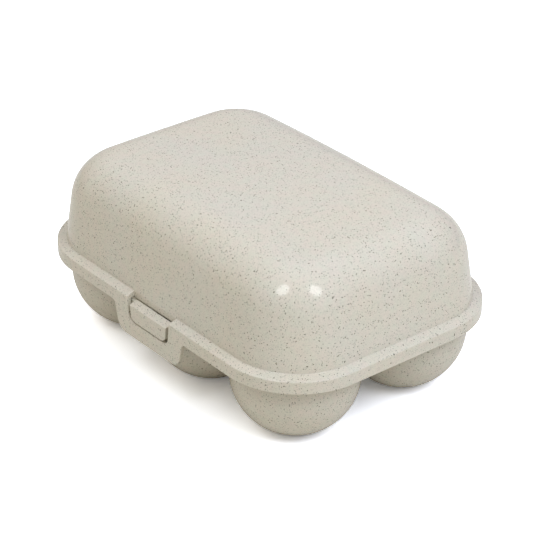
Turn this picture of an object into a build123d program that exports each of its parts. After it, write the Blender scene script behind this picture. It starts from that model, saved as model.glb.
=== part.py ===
from build123d import *
import os
from math import atan2, cos, degrees, radians, sqrt, tan

# Egg box for six eggs: a domed lid over a tray of round cups, hinged along the back and held shut
# at the front by a press button on the tray that shows through a loop on the lid.
# X runs along the long side, the button faces -Y and +Z is up.
# The origin lies on the surface the box stands on, at the middle of its outline.

# Driving dimensions, in millimetres and degrees

# Cups and tray
cup_bore_radius = 22.5
cup_straight_height = 11.0
cup_floor_radius = 8.0
cup_gap_x = 1.2
cup_gap_y = 3.0
columns = 3
rows = 2
tray_wall = 1.8
mouth_fillet = 1.0
foot_fillet = 2.0
lip_height = 3.3
lip_wall = 1.1

# Rim, measured outwards from the cups
end_margin = 5.9
side_margin = 5.35
corner_margin = 6.7

# Lid
lid_wall = 1.8
skirt_height = 5.1
bevel_width = 3.6
bevel_rise = 1.2
dome_height = 33.5
dome_draft = 8.4
shoulder_radius = 19.0
crown_rise = 1.6
dome_foot_fillet = 0.4
crease_fillet = 0.5
edge_fillet = 0.4

# Loop on the lid, with the window that the button shows through
loop_wall = 1.5
loop_top_width = 42.0
loop_bottom_width = 36.8
loop_drop = 11.2
loop_corner_radius = 5.5
loop_root_radius = 2.0
window_bottom_width = 23.8
window_draft = 5.9
window_drop = 4.6
window_corner_radius = 3.4
window_edge_fillet = 0.5
backing_gap = 0.35
backing_overlap = 1.5

# Press button and the springy strip of the tray's rim that carries it
button_side_gap = 1.5
button_bottom_gap = 0.5
button_crease = 2.3
button_edge_fillet = 0.3
button_plate_overlap = 1.3
button_plate_drop = 1.0
button_travel = 1.7
strip_length = 56.0
strip_end_gap = 0.3
strip_back_gap = 0.3
strip_corner_radius = 0.8

# Hinge
hinge_spacing = 49.8
hinge_reach = 3.2
hinge_drop = 1.0
pin_radius = 1.5
knuckle_wall = 1.4
knuckle_length = 12.0
ear_width = 3.0
ear_gap = 0.3
pin_chamfer = 0.3
gusset_length = 12.0

# Clearances, and how near two lengths are to count as equal when edges are picked
tolerance = 0.01
skirt_clearance = 0.4
seat_clearance = 0.2
pin_clearance = 0.08

# Sizes and levels that follow

cup_radius = cup_bore_radius + tray_wall
pitch_x = 2 * cup_radius + cup_gap_x
pitch_y = 2 * cup_radius + cup_gap_y
rim_length = (columns - 1) * pitch_x + 2 * (cup_radius + end_margin)
rim_width = (rows - 1) * pitch_y + 2 * (cup_radius + side_margin)
rim_corner_radius = cup_radius + corner_margin

bore_depth = sqrt(cup_bore_radius**2 - cup_floor_radius**2)
cup_center_level = tray_wall + bore_depth
deck_top = cup_center_level + cup_straight_height
deck_underside = deck_top - tray_wall

bevel_angle = degrees(atan2(bevel_rise, bevel_width))
bevel_slope = bevel_rise / bevel_width


def crease_height(depth):
    """Height of the crease above the skirt's lower edge, on a surface this deep inside the lid's outside."""
    return skirt_height - depth / cos(radians(bevel_angle)) + depth * bevel_slope


skirt_foot = deck_top + seat_clearance - crease_height(lid_wall)
dome_foot = skirt_foot + skirt_height + bevel_rise
dome_edge = dome_foot + dome_height
dome_apex = dome_edge + crown_rise

knuckle_radius = pin_radius + knuckle_wall
hinge_overhang = hinge_reach + knuckle_radius
middle_y = -hinge_overhang / 2
front_y = middle_y - rim_width / 2
back_y = middle_y + rim_width / 2
hinge_y = back_y + hinge_reach
hinge_z = skirt_foot - hinge_drop

lip_inset = lid_wall + skirt_clearance
strip_back_inset = lip_inset + lip_wall
slot_back_inset = strip_back_inset + button_travel + strip_back_gap
hinge_half_width = knuckle_length / 2 + ear_gap + ear_width



def window_half_width(height):
    """Half the width of the window at this height above the skirt's lower edge."""
    return window_bottom_width / 2 + (height + window_drop) * tan(radians(window_draft))


loop_root_width = loop_top_width + 4 * loop_root_radius
window_top = dome_foot - skirt_foot + 2 * dome_foot_fillet
button_foot = button_bottom_gap - window_drop
button_depth = strip_back_inset
plate_width = 2 * (window_half_width(skirt_height) + button_plate_overlap)
plate_foot = -window_drop - button_plate_drop
strip_top = button_crease + lip_inset * bevel_slope
strip_foot = deck_top - lip_height - skirt_foot
backing_foot = button_crease + button_depth * bevel_slope + backing_gap
button_corner_radius = window_corner_radius - button_bottom_gap

front_plane = Plane(origin=(0, front_y, skirt_foot), x_dir=(1, 0, 0), z_dir=(0, -1, 0))


def level_plane(height):
    """Horizontal plane at this height, centred on the rim."""
    return Plane(origin=(0, middle_y, height))


def side_plane(x):
    """Plane facing +X at this x, whose own x runs along Y and own y along Z."""
    return Plane(origin=(x, 0, 0), x_dir=(0, 1, 0), z_dir=(1, 0, 0))


def rim_outline(inset):
    """Rounded rectangle this far inside the rim, as seen from above."""
    return RectangleRounded(rim_length - 2 * inset, rim_width - 2 * inset, rim_corner_radius - inset)


def edges_at(part, height):
    """Edges whose middle lies at this height."""
    return part.edges().filter_by_position(Axis.Z, height - tolerance, height + tolerance)


def is_loop_root(vertex):
    """Whether a corner of the loop's outline is where its side meets the skirt."""
    return abs(vertex.Y) < tolerance and abs(abs(vertex.X) - loop_top_width / 2) < tolerance


def is_outer_lower_edge(edge):
    """Whether an edge runs along the bottom of the outer face of the skirt or of the loop."""
    middle = edge @ 0.5
    if max(abs((edge @ t).Y - front_y) for t in (0, 0.5, 1)) < tolerance:
        return middle.Z < skirt_foot + tolerance
    if abs(middle.Z - skirt_foot) > tolerance:
        return False
    if edge.geom_type == GeomType.CIRCLE:
        return abs(edge.radius - rim_corner_radius) < tolerance
    return abs(abs(middle.X) - rim_length / 2) < tolerance or abs(middle.Y - back_y) < tolerance


def is_window_edge(edge):
    """Whether an edge bounds the window on the lid's front face."""
    points = [edge @ t for t in (0, 0.5, 1)]
    inside = all(abs(point.X) < window_half_width(skirt_height) + tolerance for point in points)
    above = points[1].Z > skirt_foot - window_drop - tolerance
    return inside and above and all(abs(point.Y - front_y) < tolerance for point in points)


def is_button_front_edge(edge):
    """Whether an edge bounds the button's upright front face."""
    return all(abs((edge @ t).Y - front_y) < tolerance for t in (0, 0.5, 1))


def rim_form(depth):
    """Solid skirt and bevel whose surface lies this deep inside the lid's outside."""
    with BuildPart() as form:
        with BuildSketch(level_plane(skirt_foot)):
            rim_outline(depth)
        extrude(amount=crease_height(depth) + bevel_rise)
        top = form.faces().sort_by(Axis.Z)[-1]
        chamfer(top.edges(), length=bevel_width, length2=bevel_rise, reference=top)
    return form.part


def dome_form(depth):
    """Solid dome whose surface lies this deep inside the lid's outside."""
    slope = tan(radians(dome_draft))
    inset = bevel_width - (dome_foot - skirt_foot) * slope + depth / cos(radians(dome_draft))
    half_length = rim_length / 2 - bevel_width - dome_height * slope
    crown_radius = (half_length**2 + crown_rise**2) / (2 * crown_rise)
    with BuildPart() as form:
        with BuildSketch(level_plane(skirt_foot)):
            rim_outline(inset)
        extrude(amount=dome_apex - skirt_foot, taper=dome_draft)
        with Locations((0, middle_y, dome_apex - crown_radius)):
            Sphere(crown_radius - depth, rotation=(90, 0, 0), mode=Mode.INTERSECT)
        crown = form.faces().sort_by(Axis.Z)[-1]
        fillet(crown.edges(), shoulder_radius - depth)
    return form.part


def cup_form(radius, floor_level, top_level):
    """Solid of revolution with a flat floor, a round bottom and straight upper walls."""
    floor_reach = sqrt(radius**2 - (cup_center_level - floor_level) ** 2)
    turn = sqrt(0.5) * radius
    with BuildPart() as form:
        with BuildSketch(Plane.XZ):
            with BuildLine():
                Line((0, floor_level), (floor_reach, floor_level))
                ThreePointArc(
                    (floor_reach, floor_level),
                    (turn, cup_center_level - turn),
                    (radius, cup_center_level),
                )
                Line((radius, cup_center_level), (radius, top_level))
                Polyline((radius, top_level), (0, top_level), (0, floor_level))
            make_face()
        revolve(axis=Axis.Z)
    return form.part


# Tray: a deck with a turned-down lip, cups hanging from it and the hinge's ears

cup_outside = cup_form(cup_radius, 0, deck_top)
cup_inside = cup_form(cup_bore_radius, tray_wall, deck_top + tray_wall)
cup_places = [
    Location((x, middle_y + y, 0))
    for x in [pitch_x * (i - (columns - 1) / 2) for i in range(columns)]
    for y in [pitch_y * (j - (rows - 1) / 2) for j in range(rows)]
]

with BuildPart() as base_tray:
    with BuildSketch(level_plane(deck_top)):
        rim_outline(lip_inset)
    extrude(amount=-lip_height)
    with BuildSketch(level_plane(deck_underside)):
        rim_outline(lip_inset + lip_wall)
    extrude(amount=-lip_height, mode=Mode.SUBTRACT)

    with BuildSketch(level_plane(deck_top)):
        with Locations((0, -rim_width / 2 + (lip_inset + slot_back_inset) / 2)):
            Rectangle(strip_length + 2 * strip_end_gap, slot_back_inset - lip_inset)
    extrude(amount=-lip_height, mode=Mode.SUBTRACT)

    for side in (-1, 1):
        for end in (-1, 1):
            ear_x = side * hinge_spacing / 2 + end * (hinge_half_width - ear_width / 2)
            with BuildSketch(side_plane(ear_x)):
                with Locations((hinge_y, hinge_z)):
                    Circle(knuckle_radius)
                with BuildLine():
                    Polyline(
                        (hinge_y, hinge_z - knuckle_radius),
                        (back_y - lip_inset, hinge_z - knuckle_radius),
                        (back_y - lip_inset - gusset_length, deck_underside),
                        (back_y - lip_inset - gusset_length, deck_underside + tray_wall / 2),
                        (back_y - lip_inset, deck_underside + tray_wall / 2),
                        (back_y - lip_inset, skirt_foot - skirt_clearance),
                        (hinge_y, skirt_foot - skirt_clearance),
                        close=True,
                    )
                make_face()
            extrude(amount=ear_width / 2, both=True)

    for place in cup_places:
        add(place * cup_outside)
    for place in cup_places:
        add(place * cup_inside, mode=Mode.SUBTRACT)
    mouths = edges_at(base_tray, deck_top).filter_by(GeomType.CIRCLE)
    fillet(mouths.filter_by(lambda edge: abs(edge.radius - cup_bore_radius) < tolerance), mouth_fillet)
    fillet(edges_at(base_tray, 0), foot_fillet)

    with BuildSketch(side_plane(-rim_length / 2)):
        with Locations((hinge_y, hinge_z)):
            Circle(pin_radius)
    extrude(amount=rim_length, mode=Mode.SUBTRACT)

# Lid: dome, ledge, skirt, latch loop and hinge knuckles in one moulding

rim_outside = rim_form(0)
rim_inside = rim_form(lid_wall)
dome_outside = dome_form(0)
dome_inside = dome_form(lid_wall)

with BuildPart() as lid_shell:
    add(rim_outside)
    add(dome_outside)
    fillet(edges_at(lid_shell, dome_foot), dome_foot_fillet)
    fillet(edges_at(lid_shell, skirt_foot + skirt_height), crease_fillet)
    add(rim_inside, mode=Mode.SUBTRACT)
    add(dome_inside, mode=Mode.SUBTRACT)

    with BuildSketch(front_plane):
        with BuildLine():
            Polyline(
                (-loop_top_width / 2, 0),
                (-loop_bottom_width / 2, -loop_drop),
                (loop_bottom_width / 2, -loop_drop),
                (loop_top_width / 2, 0),
                (loop_root_width / 2, 0),
                (loop_root_width / 2, skirt_height / 2),
                (-loop_root_width / 2, skirt_height / 2),
                (-loop_root_width / 2, 0),
                close=True,
            )
        make_face()
        fillet(vertices().group_by(Axis.Y)[0], loop_corner_radius)
        fillet(vertices().filter_by(is_loop_root), loop_root_radius)
    extrude(amount=-loop_wall)
    fillet(lid_shell.edges().filter_by(is_outer_lower_edge), edge_fillet)

    with BuildSketch(front_plane.offset(-bevel_width)):
        with Locations((0, backing_foot)):
            Rectangle(
                2 * (window_half_width(skirt_height) + backing_overlap),
                skirt_height - backing_foot,
                align=(Align.CENTER, Align.MIN),
            )
    extrude(amount=-lid_wall)
    with BuildSketch(front_plane):
        with BuildLine():
            Polyline(
                (-window_half_width(-window_drop), -window_drop),
                (window_half_width(-window_drop), -window_drop),
                (window_half_width(window_top), window_top),
                (-window_half_width(window_top), window_top),
                close=True,
            )
        make_face()
        fillet(vertices().group_by(Axis.Y)[0], window_corner_radius)
    extrude(amount=-bevel_width, mode=Mode.SUBTRACT)
    fillet(lid_shell.edges().filter_by(is_window_edge), window_edge_fillet)

    for side in (-1, 1):
        with BuildSketch(side_plane(side * hinge_spacing / 2)):
            with Locations((hinge_y, hinge_z)):
                Circle(knuckle_radius)
            with Locations((back_y - lid_wall / 2, skirt_foot)):
                Rectangle(lid_wall / 2, skirt_height - 2 * crease_fillet, align=Align.MIN)
            make_hull()
        extrude(amount=knuckle_length / 2, both=True)
    with BuildSketch(side_plane(-rim_length / 2)):
        with Locations((hinge_y, hinge_z)):
            Circle(pin_radius + pin_clearance)
    extrude(amount=rim_length, mode=Mode.SUBTRACT)

# Press button: its face, the plate behind the loop and the strip of the rim that springs it

with BuildPart() as button_face:
    with BuildSketch(side_plane(0)):
        with BuildLine():
            Polyline(
                (front_y, skirt_foot + button_foot),
                (front_y, skirt_foot + button_crease),
                (front_y + button_depth, skirt_foot + button_crease + button_depth * bevel_slope),
                (front_y + button_depth, skirt_foot + button_foot),
                close=True,
            )
        make_face()
    extrude(amount=plate_width / 2, both=True)
    with BuildSketch(front_plane):
        with BuildLine():
            Polyline(
                (button_side_gap - window_half_width(button_foot), button_foot),
                (window_half_width(button_foot) - button_side_gap, button_foot),
                (window_half_width(skirt_height) - button_side_gap, skirt_height),
                (button_side_gap - window_half_width(skirt_height), skirt_height),
                close=True,
            )
        make_face()
        fillet(vertices().group_by(Axis.Y)[0], button_corner_radius)
    extrude(amount=-button_depth, mode=Mode.INTERSECT)
    fillet(button_face.edges().filter_by(is_button_front_edge), button_edge_fillet)

with BuildPart() as latch_button:
    with BuildSketch(front_plane.offset(-lip_inset)):
        with Locations((0, strip_top)):
            Rectangle(strip_length, strip_top - strip_foot, align=(Align.CENTER, Align.MAX))
            Rectangle(plate_width, strip_top - plate_foot, align=(Align.CENTER, Align.MAX))
        fillet(vertices().group_by(Axis.Y)[0], strip_corner_radius)
    extrude(amount=-lip_wall)
    add(button_face)

pieces = [base_tray, lid_shell, latch_button]
labels = ["base_tray", "lid_shell", "latch_button"]

# Hinge pins: pressed into the tray's ears, free in the lid's knuckles

for side, label in ((-1, "hinge_pin_left"), (1, "hinge_pin_right")):
    with BuildPart() as hinge_pin:
        with BuildSketch(side_plane(side * hinge_spacing / 2)):
            with Locations((hinge_y, hinge_z)):
                Circle(pin_radius)
        extrude(amount=hinge_half_width, both=True)
        chamfer(hinge_pin.edges().filter_by(GeomType.CIRCLE), pin_chamfer)
    pieces.append(hinge_pin)
    labels.append(label)

# One file for each piece

os.makedirs("parts", exist_ok=True)
for piece, label in zip(pieces, labels):
    piece.part.label = label
    export_step(piece.part, f"parts/{label}.step")
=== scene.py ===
import math

import bpy
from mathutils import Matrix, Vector


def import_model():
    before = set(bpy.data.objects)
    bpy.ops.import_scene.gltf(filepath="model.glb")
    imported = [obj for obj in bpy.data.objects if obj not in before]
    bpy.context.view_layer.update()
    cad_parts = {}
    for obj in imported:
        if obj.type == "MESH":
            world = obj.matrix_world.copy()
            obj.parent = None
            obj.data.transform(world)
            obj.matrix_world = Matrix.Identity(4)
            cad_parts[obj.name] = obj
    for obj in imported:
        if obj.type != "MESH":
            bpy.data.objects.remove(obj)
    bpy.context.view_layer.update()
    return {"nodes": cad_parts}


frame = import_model()

MM = 0.001

# The photograph's camera, found by fitting the rim, the ledge and the dome to their outlines
IMAGE_SIZE = 540
CAMERA_AZIMUTH = math.radians(51.18)
CAMERA_ELEVATION = math.radians(29.44)
CAMERA_DISTANCE = 0.8481
CAMERA_SHIFT_RIGHT = 0.00189
CAMERA_SHIFT_UP = 0.00208
CAMERA_NEAR = 0.01
CAMERA_FAR = 50.0
FOCAL_PIXELS = 2224.45
SENSOR_WIDTH = 36.0

# The middle of the skirt's lower edge, which the camera looks at and the lamps point at
RIM_MIDDLE = Vector((0, -3.05 * MM, 30.227 * MM))

# Soft light from all around: each part comes from a direction, fades with the power of the cosine
# to it, and has a colour
SKY = (
    ((0, 0, 1), 2, (1.00, 1.10, 1.24, 1)),
    ((-1, 0, 0), 1, (0.60, 0.53, 0.46, 1)),
    ((0, 1, 0), 1, (0.12, 0.13, 0.26, 1)),
    ((1, 0, 0), 3, (0.40, 0.43, 0.50, 1)),
    ((0, -1, 0), 3, (0.12, 0.10, 0.06, 1)),
)

# Two oval lamps give the two glints seen on the dome. Behind the right one is a wider lamp that no
# surface mirrors. Each has a name, azimuth, elevation, width, height and radiance
LAMP_DISTANCE = 1.2
LAMPS = (
    ("front", 13.5, 57.0, 0.34, 0.50, (5.0, 5.0, 5.0)),
    ("right", 96.0, 54.0, 0.34, 0.50, (5.0, 5.0, 5.0)),
    ("soft_right", 97.0, 48.0, 0.74, 0.74, (3.3, 3.55, 4.25)),
)

# The floor that the camera sees is the sum of two pale halves and a faint glow. The box is lit by a
# slightly warmer one
FLOOR_HALF_WIDTH = 6.0
FLOOR_SEEN_HALF = (0.95, 0.95, 0.95, 1)
FLOOR_GLOW = 0.10
FLOOR_BOUNCE = (0.80, 0.766, 0.675, 1)

# Colours of the plastic as the screen shows them, and its gloss
SHELL_COLOUR = (204, 196, 177)
SHELL_ROUGHNESS = 0.11
PIN_COLOUR = (190, 182, 163)
PIN_ROUGHNESS = 0.3
ROUGHNESS_SPREAD = 0.02
PLASTIC_IOR = 1.52

# Tints across the plastic: a slow drift between warmer and cooler, small patches of pink and green,
# and a fine pale and dark grain. Each has the size of its patches and two tints
TINTS = (
    (22 * MM, (1.012, 0.998, 0.982), (0.992, 1.000, 1.012)),
    (3.5 * MM, (1.018, 0.990, 1.000), (0.984, 1.006, 0.996)),
    (0.42 * MM, (0.950, 0.950, 0.950), (1.050, 1.050, 1.050)),
)

# Flecks in the plastic, from fine and faint to large and dark. Each layer has the spacing and the
# largest radius, the share of places that hold a fleck, its strength and its two colours
FLECKS = (
    (0.52 * MM, 0.17 * MM, 0.55, 0.55, (150, 143, 124), (148, 150, 142)),
    (0.70 * MM, 0.24 * MM, 0.60, 0.86, (110, 102, 80), (106, 106, 94)),
    (2.00 * MM, 0.32 * MM, 0.25, 0.90, (90, 82, 62), (88, 88, 78)),
)
FLECK_EDGE = 0.22
SMALLEST_FLECK = 0.35
BEND_SIZE = 0.9 * MM
BEND_REACH = 0.9 * MM

# Unevenness of the moulded surface: the size of its features, its strength and its height
GRAIN = (0.35 * MM, 0.20, 0.02 * MM)
SWELL = (3.0 * MM, 0.15, 0.05 * MM)


def srgb(red, green, blue):
    """Linear colour of a colour given as the screen shows it, from 0 to 255."""
    def linear(value):
        value /= 255
        return value / 12.92 if value <= 0.04045 else ((value + 0.055) / 1.055) ** 2.4
    return (linear(red), linear(green), linear(blue), 1)


def towards(azimuth, elevation):
    """Direction from the box. Azimuth 0 stands in front of it and a quarter turn to its right."""
    return Vector((
        math.sin(azimuth) * math.cos(elevation),
        -math.cos(azimuth) * math.cos(elevation),
        math.sin(elevation),
    ))


def place_facing(made, location, direction):
    """Puts a camera or a lamp in the scene, looking along a direction."""
    bpy.context.scene.collection.objects.link(made)
    made.location = location
    made.rotation_mode = "QUATERNION"
    made.rotation_quaternion = direction.to_track_quat("-Z", "Y")


class Nodes:
    """Short way to write a node tree."""

    def __init__(self, tree):
        self.tree = tree
        tree.nodes.clear()

    def add(self, kind, **settings):
        node = self.tree.nodes.new(kind)
        for name, value in settings.items():
            setattr(node, name, value)
        return node

    def feed(self, target, value):
        """Sets a socket to a number or colour, or links it to another node's socket."""
        if isinstance(value, bpy.types.NodeSocket):
            self.tree.links.new(value, target)
        else:
            target.default_value = value

    def math(self, operation, a, b):
        node = self.add("ShaderNodeMath", operation=operation)
        self.feed(node.inputs[0], a)
        self.feed(node.inputs[1], b)
        return node.outputs[0]

    def vector_math(self, operation, *values):
        node = self.add("ShaderNodeVectorMath", operation=operation)
        for socket, value in zip(node.inputs, values):
            self.feed(socket, value)
        return node.outputs["Value" if operation == "DOT_PRODUCT" else "Vector"]

    def span(self, value, low, high, to_low=0.0, to_high=1.0, smooth=False):
        """Maps low..high to to_low..to_high, held at both ends."""
        node = self.add("ShaderNodeMapRange", clamp=True)
        node.interpolation_type = "SMOOTHSTEP" if smooth else "LINEAR"
        for socket, number in zip(node.inputs, (value, low, high, to_low, to_high)):
            self.feed(socket, number)
        return node.outputs[0]

    def mix(self, factor, a, b, blend="MIX"):
        node = self.add("ShaderNodeMix", data_type="RGBA", blend_type=blend)
        self.feed(node.inputs[0], factor)
        self.feed(node.inputs[6], a)
        self.feed(node.inputs[7], b)
        return node.outputs[2]

    def noise(self, place, size, detail):
        """Noise whose features are about this size in metres."""
        node = self.add("ShaderNodeTexNoise")
        self.feed(node.inputs["Vector"], place)
        node.inputs["Scale"].default_value = 1 / size
        node.inputs["Detail"].default_value = detail
        return node

    def bump(self, height, strength, distance, normal=None):
        """Unevenness, on top of another one where a normal is given."""
        node = self.add("ShaderNodeBump")
        node.inputs["Strength"].default_value = strength
        node.inputs["Distance"].default_value = distance
        self.feed(node.inputs["Height"], height)
        if normal is not None:
            self.feed(node.inputs["Normal"], normal)
        return node.outputs[0]

    def diffuse(self, colour):
        node = self.add("ShaderNodeBsdfDiffuse")
        node.inputs["Color"].default_value = colour
        return node.outputs[0]

    def background(self, colour, strength):
        node = self.add("ShaderNodeBackground")
        node.inputs["Color"].default_value = colour
        self.feed(node.inputs["Strength"], strength)
        return node.outputs[0]

    def both(self, a, b):
        """Sum of two shaders."""
        node = self.add("ShaderNodeAddShader")
        self.feed(node.inputs[0], a)
        self.feed(node.inputs[1], b)
        return node.outputs[0]

    def finish(self, kind, lit, seen):
        """Ends the tree with one shader for the light and another for what the camera sees."""
        pick = self.add("ShaderNodeMixShader")
        self.feed(pick.inputs[0], self.add("ShaderNodeLightPath").outputs["Is Camera Ray"])
        self.feed(pick.inputs[1], lit)
        self.feed(pick.inputs[2], seen)
        self.feed(self.add(kind).inputs[0], pick.outputs[0])


def crooked_place(nodes, place):
    """The place bent a little, so that the flecks looked up there are slightly crooked."""
    bend = nodes.noise(place, BEND_SIZE, detail=1.0).outputs["Color"]
    centred = nodes.vector_math("SUBTRACT", bend, (0.5, 0.5, 0.5))
    return nodes.vector_math("MULTIPLY_ADD", centred, (BEND_REACH,) * 3, place)


def flecks(nodes, place, spacing, radius, share):
    """Mask of scattered flecks inside the plastic, and a random number for each one."""
    cells = nodes.add("ShaderNodeTexVoronoi", voronoi_dimensions="3D", feature="F1")
    nodes.feed(cells.inputs["Vector"], place)
    cells.inputs["Scale"].default_value = 1 / spacing
    parts = nodes.add("ShaderNodeSeparateColor")
    nodes.feed(parts.inputs[0], cells.outputs["Color"])
    largest = radius / spacing
    reach = nodes.span(parts.outputs[0], 1 - share, 1, SMALLEST_FLECK * largest, largest)
    held = nodes.math("GREATER_THAN", parts.outputs[0], 1 - share)
    nearness = nodes.math("DIVIDE", cells.outputs["Distance"], reach)
    mask = nodes.span(nearness, 1 - FLECK_EDGE, 1 + FLECK_EDGE, 1, 0, smooth=True)
    return nodes.math("MULTIPLY", mask, held), parts.outputs[1]


def speckled_plastic(name, base, roughness):
    """Satin moulded plastic, warm light grey, with fine dark flecks of several sizes."""
    material = bpy.data.materials.new(name)
    material.use_nodes = True
    nodes = Nodes(material.node_tree)
    place = nodes.add("ShaderNodeTexCoord").outputs["Object"]
    crooked = crooked_place(nodes, place)

    colour = srgb(*base)
    for size, tint_a, tint_b in TINTS:
        patch = nodes.span(nodes.noise(place, size, detail=1.0).outputs[0], 0.35, 0.65)
        tint = nodes.mix(patch, (*tint_a, 1), (*tint_b, 1))
        colour = nodes.mix(1.0, colour, tint, "MULTIPLY")
    for spacing, radius, share, strength, dark, bluish in FLECKS:
        mask, pick = flecks(nodes, crooked, spacing, radius, share)
        shade = nodes.mix(pick, srgb(*dark), srgb(*bluish))
        colour = nodes.mix(nodes.math("MULTIPLY", mask, strength), colour, shade)

    grain_size, grain_strength, grain_height = GRAIN
    swell_size, swell_strength, swell_height = SWELL
    grain = nodes.noise(place, grain_size, detail=2.0).outputs[0]
    swell = nodes.noise(place, swell_size, detail=1.0).outputs[0]
    fine = nodes.bump(grain, grain_strength, grain_height)
    gloss = nodes.span(grain, 0.3, 0.7, roughness - ROUGHNESS_SPREAD, roughness + ROUGHNESS_SPREAD)

    shader = nodes.add("ShaderNodeBsdfPrincipled")
    shader.inputs["IOR"].default_value = PLASTIC_IOR
    nodes.feed(shader.inputs["Base Color"], colour)
    nodes.feed(shader.inputs["Roughness"], gloss)
    nodes.feed(shader.inputs["Normal"], nodes.bump(swell, swell_strength, swell_height, fine))
    nodes.feed(nodes.add("ShaderNodeOutputMaterial").inputs[0], shader.outputs[0])
    return material


def dress(node, material):
    """Gives a CAD node its material."""
    mesh = frame["nodes"][node].data
    mesh.materials.clear()
    mesh.materials.append(material)


def camera():
    """The camera at the photograph's angle and distance."""
    back = towards(CAMERA_AZIMUTH, CAMERA_ELEVATION)
    right = Vector((math.cos(CAMERA_AZIMUTH), math.sin(CAMERA_AZIMUTH), 0))
    up = back.cross(right)
    data = bpy.data.cameras.new("camera")
    data.sensor_width = SENSOR_WIDTH
    data.lens = FOCAL_PIXELS / IMAGE_SIZE * SENSOR_WIDTH
    data.clip_start = CAMERA_NEAR
    data.clip_end = CAMERA_FAR
    made = bpy.data.objects.new("camera", data)
    shift = right * CAMERA_SHIFT_RIGHT + up * CAMERA_SHIFT_UP
    place_facing(made, RIM_MIDDLE + back * CAMERA_DISTANCE + shift, -back)
    bpy.context.scene.camera = made


def lamp(name, azimuth, elevation, width, height, radiance):
    """Oval lamp that points at the box. One whose name starts with soft isn't mirrored."""
    direction = towards(math.radians(azimuth), math.radians(elevation))
    brightest = max(radiance)
    area = math.pi * width * height / 4
    data = bpy.data.lights.new(name, "AREA")
    data.shape = "ELLIPSE"
    data.size = width
    data.size_y = height
    data.energy = math.pi * area * brightest
    data.color = [part / brightest for part in radiance]
    made = bpy.data.objects.new(name, data)
    place_facing(made, RIM_MIDDLE + direction * LAMP_DISTANCE, -direction)
    made.visible_glossy = not name.startswith("soft")


def world():
    """Soft surroundings, and white where the camera sees them."""
    made = bpy.data.worlds.new("studio")
    bpy.context.scene.world = made
    made.use_nodes = True
    nodes = Nodes(made.node_tree)
    place = nodes.add("ShaderNodeTexCoord").outputs["Generated"]
    parts = []
    for direction, power, colour in SKY:
        along = nodes.vector_math("DOT_PRODUCT", place, direction)
        share = nodes.math("POWER", nodes.math("MAXIMUM", along, 0.0), power)
        parts.append(nodes.background(colour, share))
    light = parts[0]
    for part in parts[1:]:
        light = nodes.both(light, part)
    nodes.finish("ShaderNodeOutputWorld", light, nodes.background((1, 1, 1, 1), 1.0))


def floor():
    """Plain white floor that keeps the box's shadow."""
    half = FLOOR_HALF_WIDTH
    corners = [(-half, -half, 0), (half, -half, 0), (half, half, 0), (-half, half, 0)]
    mesh = bpy.data.meshes.new("floor")
    mesh.from_pydata(corners, [], [(0, 1, 2, 3)])
    made = bpy.data.objects.new("floor", mesh)
    bpy.context.scene.collection.objects.link(made)
    material = bpy.data.materials.new("floor_white")
    material.use_nodes = True
    nodes = Nodes(material.node_tree)
    glow = nodes.add("ShaderNodeEmission")
    glow.inputs["Strength"].default_value = FLOOR_GLOW
    pale = nodes.both(nodes.diffuse(FLOOR_SEEN_HALF), nodes.diffuse(FLOOR_SEEN_HALF))
    seen = nodes.both(pale, glow.outputs[0])
    nodes.finish("ShaderNodeOutputMaterial", nodes.diffuse(FLOOR_BOUNCE), seen)
    mesh.materials.append(material)


shell_plastic = speckled_plastic("speckled_shell", SHELL_COLOUR, SHELL_ROUGHNESS)
pin_plastic = speckled_plastic("speckled_pin", PIN_COLOUR, PIN_ROUGHNESS)
for node in ("base_tray", "lid_shell", "latch_button"):
    dress(node, shell_plastic)
for node in ("hinge_pin_left", "hinge_pin_right"):
    dress(node, pin_plastic)

camera()
world()
floor()
for settings in LAMPS:
    lamp(*settings)

bpy.context.scene.view_settings.view_transform = "Standard"
